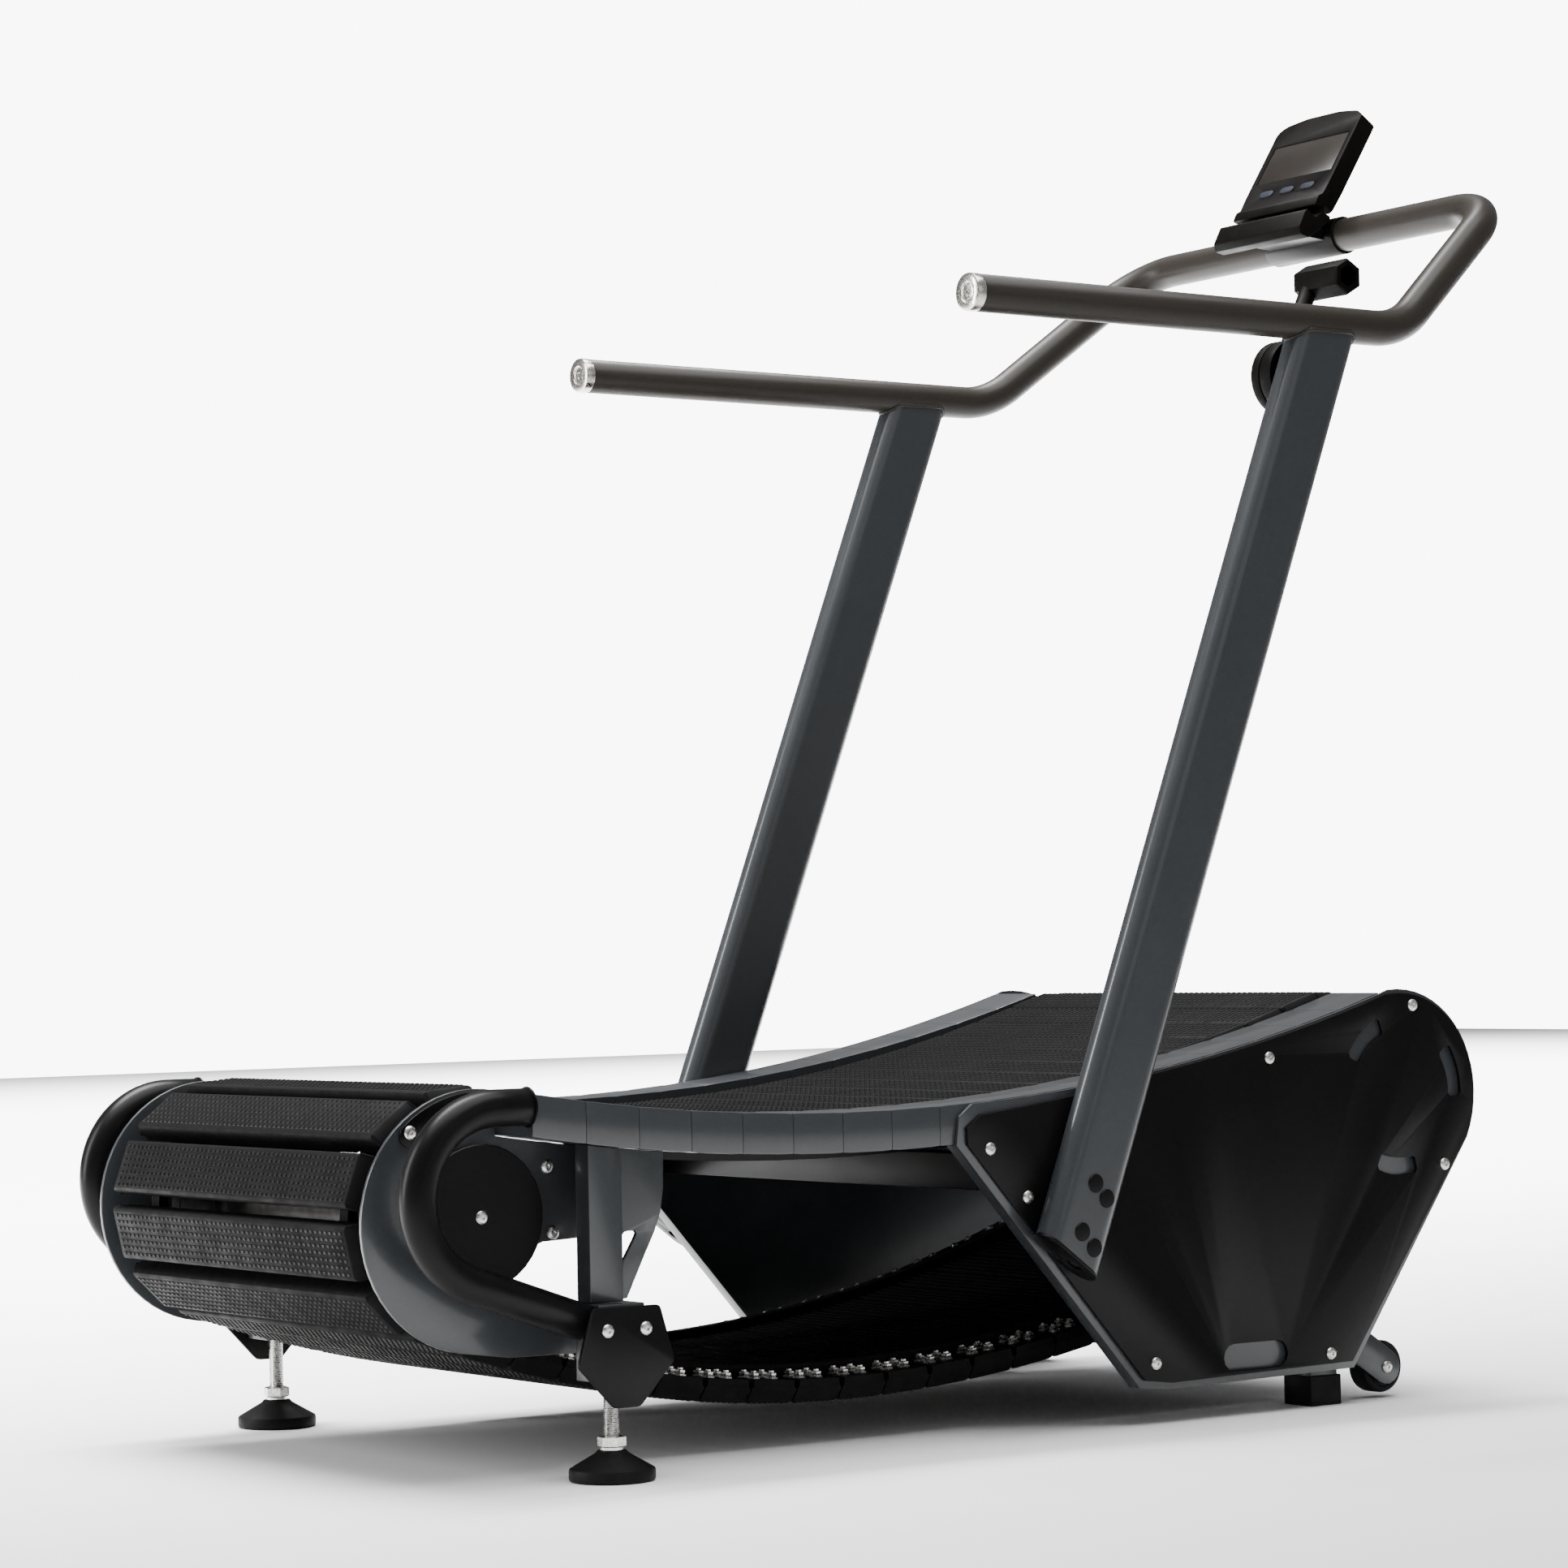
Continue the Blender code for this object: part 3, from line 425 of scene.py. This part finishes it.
slat_section = [(-0.0258, 0.0040), (-0.0266, 0.0120), (-0.0286, 0.0200), (-0.0289, 0.0245), (-0.0282, 0.0268),
                (-0.0256, 0.0287), (-0.0246, 0.0290), (0.0246, 0.0290), (0.0256, 0.0287), (0.0282, 0.0268),
                (0.0289, 0.0245), (0.0286, 0.0200), (0.0266, 0.0120), (0.0258, 0.0040)]
ends = [-0.2600, -0.2596, -0.2520, -0.2500, 0.0, 0.2500, 0.2520, 0.2596, 0.2600]
slat = bar(slat_section, ends, [0.0130, 0.0150, 0.0280, 0.0290, 0.0290, 0.0290, 0.0280, 0.0150, 0.0130])
rib_section = [(0.0, 0.0042), (0.0, 0.0010), (0.0008, 0.0), (0.0036, 0.0), (0.0044, 0.0010), (0.0044, 0.0042)]
ribs = [bar([(s + a, d) for a, d in rib_section], [-0.190, 0.190], [0.01, 0.01])
        for s in (-0.0240, -0.0130, -0.0022, 0.0086, 0.0196)]
fit("slats", copies(gathered([slat] + ribs), slat_turns, slat_places), slat_rubber,
    stands_for=("belt",))

corner = np.array([(-1.0, -1.0), (1.0, -1.0), (1.0, 1.0), (-1.0, 1.0)])
stud_rings = np.stack([np.column_stack([corner * (0.0019, 0.0027), np.full(4, 0.0288)]),
                       np.column_stack([corner * (0.0013, 0.0020), np.full(4, 0.0300)])])
stud = skin(stud_rings)
rows, columns = np.linspace(-0.0213, 0.0213, 7), np.linspace(-0.2430, 0.2430, 51)
grid_s, grid_y = (g.ravel() for g in np.meshgrid(rows, columns, indexing="ij"))
field = copies(stud, np.tile(np.eye(3), (len(grid_s), 1, 1)), np.column_stack([grid_s, grid_y, 0 * grid_s]))
for name, pick in (("studs_lower", index < 26), ("studs_upper", index >= 26)):
    fit(name, copies(field, slat_turns[pick], slat_places[pick]), stud_rubber)

loop_points = belt_loop(np.arange(520) / 520)
heading = np.roll(loop_points, -1, 0) - np.roll(loop_points, 1, 0)
heading /= np.hypot(*heading.T)[:, None]
inward = np.stack([-heading[:, 1], heading[:, 0]], -1)
bands = []
for side in (-1.0, 1.0):
    section = np.array([(0.1960, -0.0038), (0.2120, -0.0038), (0.2120, 0.0076), (0.2110, 0.0084),
                        (0.1970, 0.0084), (0.1960, 0.0076)])
    spot = loop_points[:, None, :] + inward[:, None, :] * section[None, :, 1:2]
    across = side * section[None, :, 0] * np.ones((520, 1))
    bands.append(skin(np.stack([spot[..., 0], across, spot[..., 1]], -1), closed=True))
fit("belt_bands", gathered(bands), band_rubber)


def turned(profile, sides, centre=(0.0, 0.0, 0.0), axis="Z", facet=0.0):
    """Lathe work: point = (r cos a, r sin a, h) for each (r, h) of the profile, laid along an axis."""
    profile = np.asarray(profile, float)
    angle = np.linspace(0.0, 2 * math.pi, sides, endpoint=False) + facet
    round_x = profile[:, :1] * np.cos(angle)
    round_y = profile[:, :1] * np.sin(angle)
    height = profile[:, 1:2] * np.ones(sides)
    order = {"Z": (round_x, round_y, height), "Y": (round_x, height, round_y), "X": (height, round_x, round_y)}
    return skin(np.stack(order[axis], -1) + np.asarray(centre))


def bright_steel(name, colour, roughness, streak=(1.0, 1.0, 1.0)):
    """Zinc or brushed steel: bright grey with fine drawn-out streaks and duller patches."""
    material, tree = stock(name, roughness, 1.0)
    dull = tuple(0.72 * c for c in colour)
    between(tree, mottle(tree, 60.0, 5.0), "Base Color", dull, colour, 0.30, 0.60)
    between(tree, mottle(tree, 500.0, 3.0, streak), "Roughness", roughness - 0.07, roughness + 0.12)
    relief(tree, mottle(tree, 700.0, 2.0, streak), 0.00005, 0.25)
    return material


zinc = bright_steel("zinc_plate", (0.78, 0.77, 0.74), 0.27)
nut = turned([(0.0074, 0.0041), (0.0074, 0.0028), (0.0055, 0.0028), (0.0058, 0.0023), (0.0058, -0.0016),
              (0.0050, -0.0024), (0.0030, -0.0024), (0.0030, -0.0042)], 6)
clear = np.minimum(np.hypot(*(slat_middle - axle_rear).T), np.hypot(*(slat_middle - axle_front).T)) > 0.125
nut_spots = np.array([(s, side * y, 0.0) for s in (-0.0115, 0.0115) for y in (0.2190, 0.2370)
                      for side in (-1, 1)])
nuts = copies(nut, np.tile(np.eye(3), (len(nut_spots), 1, 1)), nut_spots)
fit("slat_nuts", copies(nuts, slat_turns[clear], slat_places[clear]), zinc)


# Drums: two plain pulleys on each steel shaft, one inside each band, dark from oil and rubber dust.
# Shaft and pulleys are turned, pressed together, and turn as one with the belt.

def drum_part(axle, shaft_half):
    """Turned profile of shaft, hubs and pulley rims along the axle."""
    half = [(0.0125, shaft_half), (0.0125, 0.2460), (0.0300, 0.2455), (0.0300, 0.2300), (0.0700, 0.2280),
            (0.0800, 0.2445), (0.0895, 0.2450), (0.0905, 0.2440), (0.0905, 0.2010), (0.0895, 0.2000),
            (0.0800, 0.2000), (0.0700, 0.2160), (0.0300, 0.2140), (0.0300, 0.1960), (0.0250, 0.1950)]
    profile = [(r, -h) for r, h in half] + half[::-1]
    return turned(profile, 64, (axle[0], 0.0, axle[1]), "Y")


shaft_steel = bright_steel("turned_steel", (0.16, 0.155, 0.15), 0.42, (1.0, 12.0, 1.0))
fit("rear_drum_turned", drum_part(axle_rear, 0.2785), shaft_steel, "rear_drum",
    stands_for=("rear_drum",))
fit("front_drum_turned", drum_part(axle_front, 0.3530), shaft_steel, "front_drum",
    stands_for=("front_drum",))


# Uprights: flat-oval steel tube leaning forward, coated grey, cut at a slope at the foot and
# fishmouthed under the hand rail, where a welded bead runs round the joint.

upright_y, half_thick, half_long = 0.3835, 0.0180, 0.0430
lean = np.array([0.392, 0.0, 1.0]) / math.hypot(0.392, 1.0)
square = np.array([lean[2], 0.0, -lean[0]])
rail_z, rail_r = 1.231, 0.0205


def oval(count):
    """Flat oval: two half circles of half_thick joined by straights; returns (along, across)."""
    quarter = count // 4
    angle = np.linspace(-math.pi / 2, math.pi / 2, 2 * quarter + 1)
    reach = half_long - half_thick
    front = np.stack([reach + half_thick * np.cos(angle), half_thick * np.sin(angle)], -1)
    straight = np.linspace(reach, -reach, 9)[1:-1]
    top = np.stack([straight, np.full(7, half_thick)], -1)
    return np.vstack([front, top, -front, -top])


def upright_part(side):
    """Oval carried up the lean; foot ring on a sloping plane, top ring on the hand rail's cylinder:
    z = rail_z - sqrt(R^2 - y^2)."""
    section = oval(64)
    start = np.array([0.088, side * upright_y, 0.408]) + section[:, :1] * square
    start = start + section[:, 1:2] * np.array([0.0, 1.0, 0.0])
    cut_at = np.array([-0.035, 0.0, 0.225])
    cut_normal = np.array([0.062, 0.0, 0.083]) / math.hypot(0.062, 0.083)
    flat_start = start * (1.0, 0.0, 1.0)
    down = ((cut_at - flat_start) @ cut_normal) / (lean @ cut_normal)
    saddle = rail_z - np.sqrt((rail_r + 0.0004) ** 2 - np.minimum(section[:, 1] ** 2, 0.00032))
    up = (saddle - start[:, 2]) / lean[2]
    share = np.array([0.0, 0.001, 0.05, 0.35, 0.65, 0.95, 1.0])[:, None]
    reach = down + (up - down) * share
    return skin(start[None] + reach[..., None] * lean), start + up[:, None] * lean


def bead(path, radius, pitch):
    """Weld bead: round section along a closed path, swelling in ripples a pitch apart."""
    tangent = np.roll(path, -1, 0) - np.roll(path, 1, 0)
    length = np.linalg.norm(tangent, axis=1, keepdims=True)
    tangent = tangent / length
    place = np.cumsum(length[:, 0]) / 2
    out = path - path.mean(0)
    out = out - np.sum(out * tangent, 1, keepdims=True) * tangent
    out /= np.linalg.norm(out, axis=1, keepdims=True)
    other = np.cross(tangent, out)
    angle = np.linspace(0.0, 2 * math.pi, 8, endpoint=False)
    swell = radius * (1.0 + 0.22 * np.abs(np.sin(math.pi * place / pitch)))[:, None, None]
    ring = out[:, None] * np.cos(angle)[None, :, None] + other[:, None] * np.sin(angle)[None, :, None]
    return skin(path[:, None] + swell * ring, closed=True)


def resampled(path, count):
    """Even points along a closed path."""
    loop = np.vstack([path, path[:1]])
    far = np.concatenate([[0.0], np.cumsum(np.linalg.norm(np.diff(loop, axis=0), axis=1))])
    place = np.linspace(0.0, far[-1], count, endpoint=False)
    return np.stack([np.interp(place, far, loop[:, k]) for k in range(3)], -1)


for tag, side in (("left", 1.0), ("right", -1.0)):
    tube_part, mouth = upright_part(side)
    fit("upright_tube_" + tag, tube_part, slate_grey, crease=50.0, stands_for=("upright_" + tag,))
    fit("upright_weld_" + tag, bead(resampled(mouth, 180), 0.0022, 0.0045), bar_brown)


# Hand rail: one tube bent from grip to crossbar and back, coated dark, with turned steel ends
# pressed in and held by a socket screw.

def bent_path(corners, radii, steps):
    """Straight runs joined by circular bends of the given radii, with closely spaced points."""
    corners = [np.asarray(c, float) for c in corners]
    path = [corners[0]]
    for before, corner, after, radius in zip(corners, corners[1:], corners[2:], radii):
        back_way = (before - corner) / np.linalg.norm(before - corner)
        fore_way = (after - corner) / np.linalg.norm(after - corner)
        half = math.acos(np.clip(back_way @ fore_way, -1.0, 1.0)) / 2
        middle = corner + (back_way + fore_way) / np.linalg.norm(back_way + fore_way) * radius / math.sin(half)
        first = corner + back_way * radius / math.tan(half) - middle
        last = corner + fore_way * radius / math.tan(half) - middle
        sweep = math.pi - 2 * half
        share = np.linspace(0.0, 1.0, steps)[:, None]
        arc = np.sin((1 - share) * sweep) * first + np.sin(share * sweep) * last
        path.extend(middle + arc / math.sin(sweep))
    path.append(corners[-1])
    return np.array(path)


def pipe(path, radius, sides, reference, end_round=0.0015):
    """Round tube: centre line + radius (cos a n + sin a b), n and b square to the line; edges eased."""
    tangent = np.gradient(path, axis=0)
    tangent /= np.linalg.norm(tangent, axis=1, keepdims=True)
    normal = np.cross(np.asarray(reference, float), tangent)
    normal /= np.linalg.norm(normal, axis=1, keepdims=True)
    other = np.cross(tangent, normal)
    angle = np.linspace(0.0, 2 * math.pi, sides, endpoint=False)
    ring = normal[:, None] * np.cos(angle)[None, :, None] + other[:, None] * np.sin(angle)[None, :, None]
    rings = path[:, None] + radius * ring
    start = path[0] + (rings[0] - path[0]) * (1 - end_round / radius)
    end = path[-1] + (rings[-1] - path[-1]) * (1 - end_round / radius)
    rings[0] = rings[0] + tangent[0] * end_round
    rings[-1] = rings[-1] - tangent[-1] * end_round
    return skin(np.concatenate([start[None], rings, end[None]]))


grip_end_x = -0.0915
rail_path = bent_path([(grip_end_x, -upright_y, rail_z), (0.527, -upright_y, rail_z), (0.746, -0.330, 1.405),
                       (0.746, 0.330, 1.405), (0.527, upright_y, rail_z), (grip_end_x, upright_y, rail_z)],
                      [0.110, 0.085, 0.085, 0.110], 24)
fit("hand_rail", pipe(rail_path, rail_r, 64, (0.0, 0.0, 1.0), 0.0004), bar_brown, crease=50.0,
    stands_for=("handlebar",))


def hex_ring(radius, count):
    """Six-sided outline with the given corner radius, as count points at even angles."""
    angle = np.linspace(0.0, 2 * math.pi, count, endpoint=False)
    apothem = radius * math.cos(math.pi / 6)
    return apothem / np.cos((angle % (math.pi / 3)) - math.pi / 6), angle


def socket_head(profile, socket, depth, count=24):
    """Turned head whose middle falls into a six-sided socket: rings of radius r(a), closed at the floor."""
    hexed, angle = hex_ring(socket, count)
    radii = [np.full(count, r) for r, _ in profile] + [hexed * 1.06, hexed, hexed * 0.96]
    heights = [h for _, h in profile] + [profile[-1][1], profile[-1][1] - 0.0003, profile[-1][1] - depth]
    rings = np.stack([np.stack([r * np.cos(angle), r * np.sin(angle), np.full(count, h)], -1)
                      for r, h in zip(radii, heights)])
    return skin(rings)


def aimed(part, direction, place):
    """A part made along +Z, turned to point along a direction and set at a place."""
    turn = np.array(Vector((0.0, 0.0, 1.0)).rotation_difference(Vector(direction)).to_matrix())
    points = part[0] @ turn.T + np.asarray(place)
    return points, part[1], part[2]


polished = bright_steel("polished_end", (0.74, 0.72, 0.67), 0.20)
end_profile = [(0.0190, 0.0004), (0.0208, 0.0010), (0.0208, 0.0098), (0.0203, 0.0114), (0.0190, 0.0123),
               (0.0116, 0.0125), (0.0108, 0.0118), (0.0104, 0.0100)]
end_screw = [(0.0100, 0.0078), (0.0100, 0.0098), (0.0092, 0.0109), (0.0064, 0.0113)]
for tag, side in (("left", 1.0), ("right", -1.0)):
    spot = (grip_end_x, side * upright_y, rail_z)
    cup = aimed(turned(end_profile, 48), (-1.0, 0.0, 0.0), spot)
    screw = aimed(socket_head(end_screw, 0.0042, 0.0030), (-1.0, 0.0, 0.0), spot)
    fit("grip_end_" + tag, gathered([cup, screw]), polished, stands_for=("bar_end_" + tag,))
dressed("bar_sleeve", satin_black, 0.0005)


# Guard bows: steel tube bent round the rear drum on each side and coated black. It is welded to the
# rail's end, where a bead shows, and to the foot block below.

bow_y, bow_r, bow_bend = 0.3475, 0.019, 0.0888
seam_profile = [(0.0190, -0.0010), (0.0203, -0.0006), (0.0206, 0.0004), (0.0200, 0.0012), (0.0190, 0.0014)]
bow_corners = [(-0.6525, 0.3790), (-0.7820, 0.3790), (-0.7820, 0.2268), (-0.5922, 0.1607)]
for tag, side in (("left", 1.0), ("right", -1.0)):
    bow = [(x, side * bow_y, z) for x, z in bow_corners]
    seam = turned(seam_profile, 40)
    seam_spot = (bow_corners[0][0] - 0.0020, side * bow_y, bow_corners[0][1])
    fit("guard_weld_" + tag, aimed(seam, (1.0, 0.0, 0.0), seam_spot), satin_black)
    fit("guard_bow_" + tag, pipe(bent_path(bow, [bow_bend, bow_bend], 24), bow_r, 48, (0.0, 1.0, 0.0)),
        satin_black, crease=50.0, stands_for=("guard_" + tag,))


# Fasteners: zinc-plated button-head socket screws hold the panels, discs, covers and plates. Plain
# black plugs close the bolt holes at the foot of each upright.

button = socket_head([(0.0072, 0.0), (0.0072, 0.0006), (0.0066, 0.0018), (0.0050, 0.0028), (0.0034, 0.0032)],
                     0.0024, 0.0016)
panel_screws = [(-0.080, 0.313), (-0.030, 0.259), (0.321, 0.398), (0.543, 0.452), (0.588, 0.267),
                (0.145, 0.068), (0.404, 0.061)]
plate_screws = [(-0.5927, 0.3153), (-0.5863, 0.2474)]
disc_screw, cover_screw = (-0.677, 0.268), (-0.755, 0.356)
foot_screws = [(-0.579, 0.1525), (-0.533, 0.1525)]
panel_face, plate_face, disc_face, cover_face, foot_face = 0.3630, 0.2850, 0.2950, 0.2890, 0.3725
plug = turned([(0.0102, 0.0), (0.0102, 0.0006), (0.0096, 0.0014), (0.0060, 0.0018)], 32)
plug_spots = [(0.033, 0.272), (0.048, 0.255), (0.013, 0.221), (0.029, 0.203)]
for tag, side in (("left", 1.0), ("right", -1.0)):
    out = (0.0, side, 0.0)
    parts = []
    for spots, face in ((panel_screws, panel_face), (plate_screws, plate_face), ([disc_screw], disc_face),
                        ([cover_screw], cover_face), (foot_screws, foot_face)):
        parts += [aimed(button, out, (x, side * face, z)) for x, z in spots]
    fit("screws_" + tag, gathered(parts), zinc)
    plugs = [aimed(plug, out, (x, side * (upright_y + half_thick), z)) for x, z in plug_spots]
    fit("upright_plugs_" + tag, gathered(plugs), satin_black)


# Rear levelling feet: a moulded rubber cone on a zinc-plated threaded stud, with a collar above it
# and a hexagon nut to lock it. The front legs stand in plain rubber shoes.

foot_x, foot_y = -0.560, 0.347
foot_rubber = moulded_rubber("foot_rubber", 0.0075, 0.50)
pad_profile = [(0.0405, 0.0), (0.0428, 0.0006), (0.0438, 0.0020), (0.0440, 0.0036), (0.0440, 0.0108),
               (0.0432, 0.0126), (0.0405, 0.0142), (0.0250, 0.0232), (0.0175, 0.0276), (0.0160, 0.0292),
               (0.0150, 0.0305), (0.0120, 0.0306), (0.0095, 0.0304), (0.0090, 0.0280)]


def threaded_rod(low, high, radius, pitch, sides=24):
    """Screw thread: r = radius - cut x triangle wave of (height / pitch - angle / full turn)."""
    count = int((high - low) / pitch * 6)
    height = np.linspace(low, high, count)[:, None] * np.ones(sides)
    angle = np.linspace(0.0, 2 * math.pi, sides, endpoint=False)[None, :]
    phase = (height / pitch - angle / (2 * math.pi)) % 1.0
    r = radius - 0.0007 * np.abs(2 * phase - 1)
    return skin(np.stack([r * np.cos(angle), r * np.sin(angle), height], -1))


for tag, side in (("left", 1.0), ("right", -1.0)):
    spot = np.array([foot_x, side * foot_y, 0.0])
    body = "foot_" + tag
    fit("foot_cone_" + tag, turned(pad_profile, 56, spot), foot_rubber, body,
        stands_for=("foot_pad_" + tag,))
    rod = threaded_rod(0.0284, 0.1500, 0.0080, 0.0020)
    lock = turned([(0.0128, 0.0340), (0.0148, 0.0350), (0.0148, 0.0440), (0.0128, 0.0450)], 6, facet=0.3)
    collar = turned([(0.0110, 0.0306), (0.0118, 0.0312), (0.0118, 0.0338)], 32)
    stud_part = gathered([rod, lock, collar])
    fit("foot_screw_" + tag, (stud_part[0] + spot, stud_part[1], stud_part[2]), zinc, body,
        crease=25.0, stands_for=("foot_stud_" + tag,))
    dressed("shoe_" + tag, foot_rubber, 0.0010)


# Transport wheels: a solid rubber wheel turned with a raised rim, for tipping the machine and
# rolling it. Each runs on a screw through its bracket.

tyre_profile = [(0.0120, -0.0132), (0.0225, -0.0132), (0.0235, -0.0140), (0.0270, -0.0139), (0.0292, -0.0122),
                (0.0300, -0.0095), (0.0300, 0.0095), (0.0292, 0.0122), (0.0270, 0.0139), (0.0235, 0.0140),
                (0.0225, 0.0132), (0.0120, 0.0132)]
wheel_spot, wheel_y, bracket_face = (0.517, 0.036), 0.314, 0.3340
for tag, side in (("left", 1.0), ("right", -1.0)):
    tyre_axle = (wheel_spot[0], side * wheel_y, wheel_spot[1])
    tyre = turned(tyre_profile, 48, tyre_axle, "Y")
    fit("tyre_" + tag, tyre, foot_rubber, "wheel_" + tag, stands_for=("wheel_" + tag,))
    screw_spot = (wheel_spot[0], side * bracket_face, wheel_spot[1])
    fit("wheel_screw_" + tag, aimed(button, (0.0, side, 0.0), screw_spot), zinc)


# Console: a moulded plastic head with a grey display, three small keys and a chin, grained in the
# mould. It tilts on a tray clamped to the sleeve of the crossbar.

def moulded_plastic(name, colour, roughness):
    """Spark-eroded mould texture: fine even grain and slight sheen changes."""
    material, tree = stock(name, roughness)
    tree.nodes["shader"].inputs["Specular IOR Level"].default_value = 0.05
    between(tree, mottle(tree, 70.0, 4.0), "Base Color", tuple(0.85 * c for c in colour),
            tuple(1.25 * c for c in colour))
    between(tree, mottle(tree, 25.0, 3.0), "Roughness", roughness - 0.05, roughness + 0.07)
    relief(tree, mottle(tree, 2200.0, 2.0), 0.00008, 0.45)
    return material


console_black = moulded_plastic("console_black", (0.0030, 0.0025, 0.0022), 0.50)
key_blue = moulded_plastic("key_grey_blue", (0.030, 0.034, 0.044), 0.38)
lcd, tree = stock("display_grey", 0.22)
tree.nodes["shader"].inputs["Coat Weight"].default_value = 0.35
tree.nodes["shader"].inputs["Coat Roughness"].default_value = 0.06
between(tree, mottle(tree, 18.0, 2.0), "Base Color", (0.012, 0.0095, 0.0070), (0.0160, 0.0130, 0.0098))
dressed("console", console_black, 0.0016, "console_head")
dressed("console_tray", console_black, 0.0008)
dressed("display", lcd, 0.0003, "console_head")
for number in (1, 2, 3):
    dressed("key_%d" % number, key_blue, 0.0008, "key_%d" % number)


# Resistance dial and its lever: a moulded plastic case on the inside of the right-hand upright, and
# a cranked arm with a six-sided grip that turns in it.

dressed("dial", console_black, 0.0008)
dressed("lever", console_black, 0.0010, "lever")
